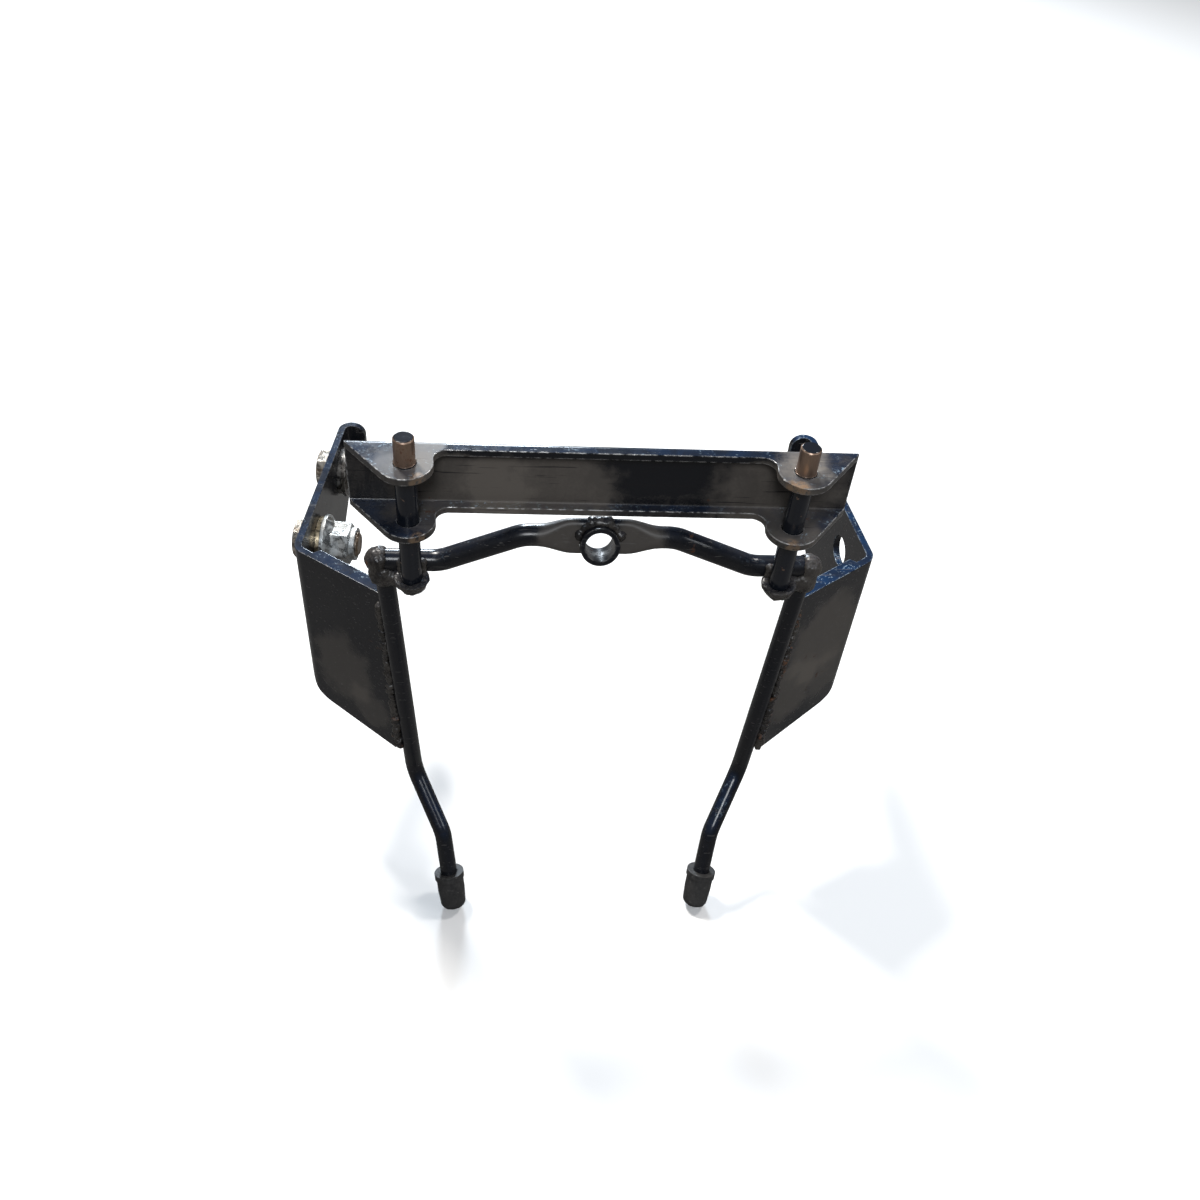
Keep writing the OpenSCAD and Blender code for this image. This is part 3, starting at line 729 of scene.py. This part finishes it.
def add_bump(tree: NodeTree, shader: bpy.types.Node, height: bpy.types.NodeSocket, strength: float,
             distance: float, round_edge: float) -> None:
    """Feeds a shader's normal with rounded edges and a bump.

    Args:
        tree: The material's tree.
        shader: The Principled shader.
        height: The bump's height.
        strength: The bump's strength.
        distance: The bump's depth in metres.
        round_edge: Radius of the rounded edges, in millimetres.
    """
    bevel = tree.add("ShaderNodeBevel", samples=BEVEL_SAMPLES)
    bevel.inputs["Radius"].default_value = round_edge * MM
    bump = tree.add("ShaderNodeBump")
    bump.inputs["Strength"].default_value = strength
    bump.inputs["Distance"].default_value = distance
    tree.link(height, bump.inputs["Height"])
    tree.link(bevel.outputs["Normal"], bump.inputs["Normal"])
    tree.link(bump.outputs["Normal"], shader.inputs["Normal"])


def dress(node: str, material: bpy.types.Material) -> bpy.types.Object:
    """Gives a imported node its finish.

    Args:
        node: The node's name.
        material: The finish.

    Returns:
        The node's object.
    """
    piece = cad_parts[node]
    for slot in piece.material_slots:
        slot.material = material
    LOG.info("%s wears %s", node, material.name)
    return piece


@dataclass(frozen=True)
class WeldLumps:
    """Weld beads, roughened from the plain solids that they replace.

    Attributes:
        nodes: The weld nodes.
        voxel: Size of the remesh, in millimetres.
        swell: Depth of the lumps, in millimetres.
        melt: Rounds of smoothing.
        lump_rate: Lumps per millimetre.
        grain_rate: Ripples of the fine grain per millimetre.
        grain: Depth of the fine grain, in millimetres.
        growth: How far the whole bead grows, in millimetres.
    """

    nodes: tuple[str, ...]
    voxel: float = 0.3
    swell: float = 0.85
    melt: int = 6
    lump_rate: float = 0.36
    grain_rate: float = 2.3
    grain: float = 0.12
    growth: float = 0.15

    def build(self, material: bpy.types.Material, slot: str) -> None:
        """Builds each bead and puts it in its node's place.

        Args:
            material: The weld's finish.
            slot: The record's material slot; not used.
        """
        for node in self.nodes:
            piece = self._roughen(node)
            piece.data.materials.clear()
            piece.data.materials.append(material)
            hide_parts(node)
            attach(piece, ROOT)
            LOG.info("%s has %d faces", piece.name, len(piece.data.polygons))

    def _roughen(self, node: str) -> bpy.types.Object:
        """Remeshes a copy of the node and moves its points by noise.

        Args:
            node: The weld node's name.

        Returns:
            The new piece.
        """
        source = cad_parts[node]
        piece = bpy.data.objects.new(f"{node}_lumps", source.data.copy())
        bpy.context.scene.collection.objects.link(piece)
        remesh = piece.modifiers.new("grain", "REMESH")
        remesh.mode = "VOXEL"
        remesh.voxel_size = self.voxel * MM
        smooth = piece.modifiers.new("melt", "SMOOTH")
        smooth.factor = 0.5
        smooth.iterations = self.melt
        bpy.context.view_layer.update()
        shape = bpy.data.meshes.new_from_object(piece.evaluated_get(bpy.context.evaluated_depsgraph_get()))
        piece.modifiers.clear()
        piece.data = shape
        normals = [vertex.normal.copy() for vertex in shape.vertices]
        for vertex, normal in zip(shape.vertices, normals):
            spot = vertex.co / MM
            broad = noise.fractal(spot * self.lump_rate, 1.0, 2.0, 4)
            fine = noise.noise(spot * self.grain_rate)
            vertex.co += normal * MM * (self.swell * broad + self.grain * fine + self.growth)
        for polygon in shape.polygons:
            polygon.use_smooth = True
        return piece


@dataclass
class SteelFrame:
    """The painted steel pieces: channel, tube, rods and plates.

    Attributes:
        channel: Paint of the cross channel, dusty inside, with a wiped patch and pale rubbed edges that are partly
            painted highlights.
        tube: Paint of the cross tube.
        sleeve: Paint of the sleeve, with its bore rubbed bare.
        rods: Paint of the leg rods.
        left_plate: Paint of the left plate.
        right_plate: Paint of the right plate, with the strongest painted sky reflection and bluish rubbed edges that
            are partly painted highlights.
    """

    channel: GlossPaint = GlossPaint(
        "channel_paint", dust=0.26, rust=0.05, scratches=0.9, wear=1.0, gloss=0.2, painted_sky=0.45,
        # Pale rubbed edges: partly real wear, partly painted highlights along the flanges' edges.
        scratch_colour=(0.008, 0.008, 0.010), edge_wear_and_highlight_colour=(0.62, 0.62, 0.62),
        blots=(Blot((13.0, 3.0, 28.0), 17.0, 1.8, dust=-1.0), Blot((29.0, 3.0, 29.0), 18.0, 1.8, dust=-1.0),
               Blot((-22.0, 3.0, 22.0), 30.0, 1.6, dust=0.6), Blot((-50.0, 3.0, 24.0), 26.0, dust=0.5),
               Blot((60.0, 3.0, 22.0), 26.0, dust=0.55),
               Blot((-20.0, 4.0, 38.6), 36.0, 8.0, dust=-0.9), Blot((26.0, 4.0, 38.6), 36.0, 8.0, dust=-0.9),
               Blot((-66.0, -9.0, 38.3), 12.0, dust=0.3), Blot((66.0, -9.0, 38.3), 12.0, dust=0.3),
               Blot((-61.0, -16.0, 37.2), 3.4, bare=0.5), Blot((61.0, -16.0, 37.2), 4.4, bare=0.7),
               Blot((-62.0, -16.2, 12.8), 3.4, bare=0.5), Blot((64.0, -16.2, 12.8), 3.0, bare=0.4)))
    tube: GlossPaint = GlossPaint(
        "tube_paint", dust=0.08, rust=0.03, scratches=0.4, gloss=0.2, painted_sky=0.15,
        blots=(Blot((-14.0, -2.0, 1.0), 11.0, dust=0.5), Blot((14.0, -2.0, 1.0), 11.0, dust=0.5)))
    sleeve: GlossPaint = GlossPaint(
        "sleeve_paint", dust=0.1, rust=0.05, scratches=0.3, gloss=0.22, painted_sky=0.1, bare_colour=(0.62, 0.61, 0.60),
        blots=(Blot((0.0, 0.0, -1.0), 5.4, bare=0.9),))
    rods: GlossPaint = GlossPaint("rod_paint", dust=0.04, rust=0.04, scratches=0.3, gloss=0.18, painted_sky=0.5)
    left_plate: GlossPaint = GlossPaint(
        "left_plate_paint", dust=0.04, rust=0.04, scratches=0.5, wear=0.35, gloss=0.19, painted_sky=0.5,
        blots=(Blot((-98.0, 14.0, -84.0), 17.0, 0.8, dust=0.38), Blot((-88.0, 8.0, -100.0), 12.0, dust=0.33)))
    right_plate: GlossPaint = GlossPaint(
        "right_plate_paint", dust=0.06, rust=0.05, scratches=0.6, wear=0.6, gloss=0.19, painted_sky=1.0,
        # Bluish rubbed edges: partly real wear, partly a painted highlight of the sky along the top strip's edges.
        edge_wear_and_highlight_colour=(0.38, 0.46, 0.54),
        blots=(Blot((98.0, 15.0, -62.0), 21.0, 0.8, dust=0.55), Blot((86.0, 8.0, -88.0), 16.0, 0.8, dust=0.5),
               Blot((104.0, 20.0, -88.0), 13.0, 0.8, dust=0.35)))

    def build(self, effects: Effects) -> None:
        """Dresses every painted node.

        Args:
            effects: The shared effect groups.
        """
        channel = self.channel.make(effects)
        tube = self.tube.make(effects)
        rods = self.rods.make(effects)
        dress("cross_channel", channel)
        dress("cross_tube", tube)
        dress("centre_sleeve", self.sleeve.make(effects))
        for node in ("left_leg_rod", "right_leg_rod"):
            dress(node, rods)
        dress("left_side_plate", self.left_plate.make(effects))
        dress("right_side_plate", self.right_plate.make(effects))


@dataclass
class Pins:
    """The two upright pins.

    Attributes:
        finish: Their rubbed steel, dark at the top end.
    """

    finish: RubbedSteel = RubbedSteel("rubbed_pin_steel", dark_above=48.3)

    def build(self, effects: Effects) -> None:
        """Dresses both pins.

        Args:
            effects: The shared effect groups.
        """
        steel = self.finish.make(effects)
        for node in ("left_pin", "right_pin"):
            dress(node, steel)


@dataclass
class Fasteners:
    """The bolts, washers and flange nuts on the left plate.

    Attributes:
        zinc: Finish of the front nut.
        head: Finish of the bolts.
        yellow: Finish of the front washer.
        shaded: Finish of the rear nut and washer, a darker copy of the zinc that paints shade, with heavy stains.
    """

    zinc: ZincPlate = ZincPlate("dull_zinc")
    head: ZincPlate = ZincPlate("stained_head_zinc", (0.30, 0.28, 0.25), (0.15, 0.10, 0.06), 0.8,
                                (Blot((-91.5, 50.2, -47.5), 7.0, dust=0.9),))
    yellow: ZincPlate = ZincPlate("yellow_zinc", (0.48, 0.41, 0.29), (0.27, 0.20, 0.11), 0.5)
    # Darker copy of the zinc: painted shade on the rear nut and washer, plus real heavy stains.
    shaded: ZincPlate = ZincPlate("shaded_dirty_rear_zinc", (0.16, 0.16, 0.16), (0.06, 0.052, 0.045), 0.9)

    def build(self, effects: Effects) -> None:
        """Dresses the fasteners.

        Args:
            effects: The shared effect groups.
        """
        for finish, nodes in ((self.zinc, ("front_flange_nut",)), (self.head, ("front_bolt", "rear_bolt")),
                              (self.yellow, ("front_washer",)), (self.shaded, ("rear_flange_nut", "rear_washer"))):
            material = finish.make(effects)
            for node in nodes:
                dress(node, material)


@dataclass
class FootCaps:
    """The rubber caps on the rods' ends.

    Attributes:
        rubber: Their finish.
    """

    rubber: CapRubber = CapRubber("cap_rubber")

    def build(self, effects: Effects) -> None:
        """Dresses both caps.

        Args:
            effects: The shared effect groups.
        """
        rubber = self.rubber.make(effects)
        for node in ("left_foot_cap", "right_foot_cap"):
            dress(node, rubber)


@dataclass
class Welds:
    """All the weld beads, in one dull and dusty paint.

    Attributes:
        paint: Paint of the beads.
        slot: The record's material slot.
        beads: The sets of beads: corners, plates, then sleeve and ears.
    """

    paint: GlossPaint = GlossPaint(
        "weld_paint", colour=(0.011, 0.010, 0.010), dust=0.55, rust=0.3, scratches=0.1, wear=0.0, gloss=0.17,
        rust_colour=(0.17, 0.075, 0.035), painted_sky=0.2)
    slot: str = "painted_weld"
    beads: tuple[WeldLumps, ...] = (
        WeldLumps(("left_corner_weld", "right_corner_weld"), swell=0.45, melt=22),
        WeldLumps(("left_plate_weld", "right_plate_weld"), swell=1.0),
        WeldLumps(("sleeve_weld", "left_pin_weld", "right_pin_weld"), swell=0.4, melt=10))

    def build(self, effects: Effects) -> None:
        """Builds every bead.

        Args:
            effects: The shared effect groups.
        """
        paint = self.paint.make(effects)
        for beads in self.beads:
            beads.build(paint, self.slot)


@dataclass(frozen=True)
class Lamp:
    """A soft square lamp that points at the part's origin.

    Attributes:
        name: The lamp's name.
        place: Where it hangs, in metres.
        size: The length of its sides, in metres.
        power: Its power, in watts.
        tint: The colour of its light.
    """

    name: str
    place: Point
    size: float
    power: float
    tint: Colour

    def hang(self) -> None:
        """Hangs the lamp in the scene."""
        lamp = bpy.data.lights.new(self.name, "AREA")
        lamp.size = self.size
        lamp.energy = self.power
        lamp.color = self.tint
        holder = bpy.data.objects.new(self.name, lamp)
        holder.location = self.place
        holder.rotation_euler = (-Vector(self.place)).to_track_quat("-Z", "Y").to_euler()
        bpy.context.scene.collection.objects.link(holder)


@dataclass
class Studio:
    """Pale floor, soft lamps and the camera.

    Attributes:
        focal_px: Focal length in pixels of a 1200 pixel frame.
        pitch: Angle of the view below the horizon, in degrees.
        yaw: Angle of the view to the right, in degrees.
        roll: Turn of the frame, in degrees.
        place: The camera's place, in millimetres.
        frame_px: Width of the frame, in pixels.
        sensor: Width of the sensor, in millimetres.
        floor_drop: Gap between the feet and the floor, in millimetres.
        floor_reach: Half of the floor's width, in metres.
        floor_pale: The two greys that the camera sees on the floor.
        floor_dim: The grey that everything else sees there.
        air: The colour of the light from all round.
        air_strength: Its strength.
        lamps: Two warm lamps high behind, and cooler ones low behind, in front and at the right.
    """

    focal_px: float = 1137.3
    pitch: float = 43.52
    yaw: float = 6.76
    roll: float = 5.48
    place: Point = (-33.65, -303.67, 261.54)
    frame_px: float = 1200.0
    sensor: float = 36.0
    floor_drop: float = 0.2
    floor_reach: float = 6.0
    floor_pale: tuple[Colour, Colour] = ((0.90, 0.90, 0.90), (0.93, 0.93, 0.93))
    floor_dim: Colour = (0.13, 0.125, 0.12)
    air: Colour = (0.9, 0.94, 1.0)
    air_strength: float = 0.14
    lamps: tuple[Lamp, ...] = (
        Lamp("key_lamp", (-0.50, 0.75, 1.35), 0.25, 27.0, (1.0, 0.96, 0.91)),
        Lamp("second_lamp", (0.85, 0.55, 1.35), 0.22, 9.0, (1.0, 0.97, 0.94)),
        Lamp("back_lamp", (-0.1, 1.5, 0.5), 0.3, 22.0, (0.80, 0.90, 1.0)),
        Lamp("front_lamp", (-0.15, -1.1, 1.2), 0.42, 12.0, (0.94, 0.97, 1.0)),
        Lamp("right_lamp", (1.2, -0.5, 0.9), 0.4, 3.0, (0.92, 0.96, 1.0)))

    def build(self) -> None:
        """Builds the camera, the floor, the lamps and the world."""
        self._camera()
        self._floor()
        for lamp in self.lamps:
            lamp.hang()
        self._world()
        bpy.context.scene.view_settings.view_transform = "Standard"

    def _camera(self) -> None:
        """Places the camera at the photograph's angle."""
        pitch, yaw, roll = (math.radians(a) for a in (self.pitch, self.yaw, self.roll))
        ahead = Vector((math.sin(yaw) * math.cos(pitch), math.cos(yaw) * math.cos(pitch), -math.sin(pitch)))
        level = Vector((math.cos(yaw), -math.sin(yaw), 0.0))
        upright = level.cross(ahead)
        right = math.cos(roll) * level + math.sin(roll) * upright
        up = -math.sin(roll) * level + math.cos(roll) * upright
        camera = bpy.data.cameras.new("camera")
        camera.sensor_width = self.sensor
        camera.lens = self.focal_px / self.frame_px * self.sensor
        camera.clip_start = 0.01
        holder = bpy.data.objects.new("camera", camera)
        matrix = Matrix((right, up, -ahead)).transposed().to_4x4()
        matrix.translation = Vector(self.place) * MM
        holder.matrix_world = matrix
        bpy.context.scene.collection.objects.link(holder)
        bpy.context.scene.camera = holder

    def _floor(self) -> None:
        """Lays the pale floor under the feet, dimmer in the paint's reflections than to the camera."""
        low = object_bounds()[0][2] - self.floor_drop * MM
        shape = bpy.data.meshes.new("floor")
        reach = self.floor_reach
        shape.from_pydata([(-reach, -reach, low), (reach, -reach, low), (reach, reach, low), (-reach, reach, low)],
                          [], [(0, 1, 2, 3)])
        floor = bpy.data.objects.new("floor", shape)
        bpy.context.scene.collection.objects.link(floor)
        material, tree, shader = start_material("pale_floor")
        darker, paler = self.floor_pale
        tint = tree.mix(tree.noise(3.0, 2.0), (*darker, 1.0), (*paler, 1.0))
        path = tree.add("ShaderNodeLightPath")
        tint = tree.mix(path.outputs["Is Camera Ray"], (*self.floor_dim, 1.0), tint)
        tree.link(tint, shader.inputs["Base Color"])
        shader.inputs["Roughness"].default_value = 0.9
        shape.materials.append(material)
        floor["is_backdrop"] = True

    def _world(self) -> None:
        """Fills the rest of the light with an even pale grey."""
        world = bpy.data.worlds.new("studio_air")
        world.use_nodes = True
        background = world.node_tree.nodes["Background"]
        background.inputs["Color"].default_value = (*self.air, 1.0)
        background.inputs["Strength"].default_value = self.air_strength
        bpy.context.scene.world = world


def corner_list(box: object) -> list[list[float]]:
    """Args:
        box: The lowest and highest corners.

    Returns:
        The corners as lists of numbers.
    """
    return [[float(value) for value in corner] for corner in box]


def main(cad_box: list[list[float]]) -> None:
    """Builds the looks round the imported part.
    """
    logging.basicConfig(level=logging.INFO, format="%(name)s: %(message)s")
    Studio().build()
    effects = Effects()
    for assembly in (SteelFrame(), Pins(), Fasteners(), FootCaps(), Welds()):
        assembly.build(effects)


if __name__ == "__main__":
    main(corner_list(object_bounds()))
